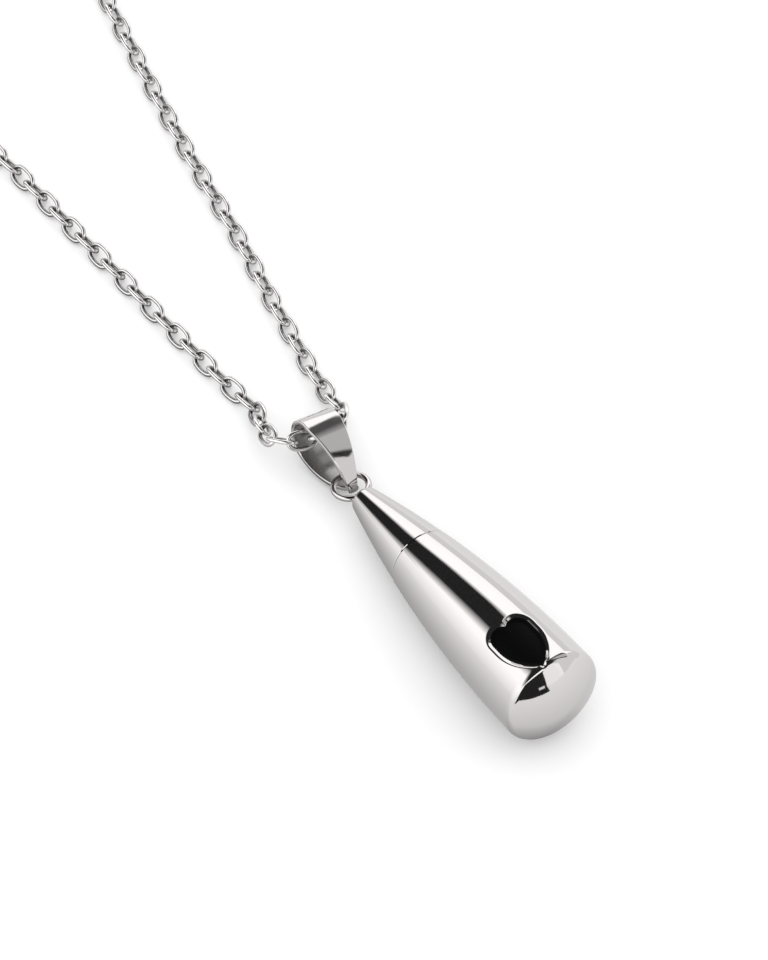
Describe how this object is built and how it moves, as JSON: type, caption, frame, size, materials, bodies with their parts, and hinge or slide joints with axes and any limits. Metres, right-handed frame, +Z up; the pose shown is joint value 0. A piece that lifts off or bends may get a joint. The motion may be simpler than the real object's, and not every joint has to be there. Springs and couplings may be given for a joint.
{
  "type": "urn pendant necklace",
  "caption": "Teardrop steel keepsake urn pendant with a black enamel heart, unscrewing cap, soldered ring, tapered folded bail and a closed cable chain, lying flat.",
  "frame": {"origin": "on the surface that the necklace lies on, below the middle of its bounding box", "axes": "+Y along the necklace, from the drop's wide end towards the clasp; +Z up from the surface; +X to the right"},
  "size_m": [0.0584, 0.2745, 0.0117],
  "materials": {
    "steel": "mirror-polished stainless steel",
    "enamel": "glossy black enamel"
  },
  "bodies": {
    "necklace": {"urn_cap": "steel", "bail": "steel", "chain_left": "steel", "chain_right": "steel", "clasp": "steel"},
    "vial": {"urn_vial": "steel", "heart_inlay": "enamel"}
  },
  "joints": [
    {"name": "vial_slide", "type": "slide", "parent": "necklace", "child": "vial", "axis": [0, -0.9936, 0.1132], "range_m": [0, 0.01]}
  ]
}
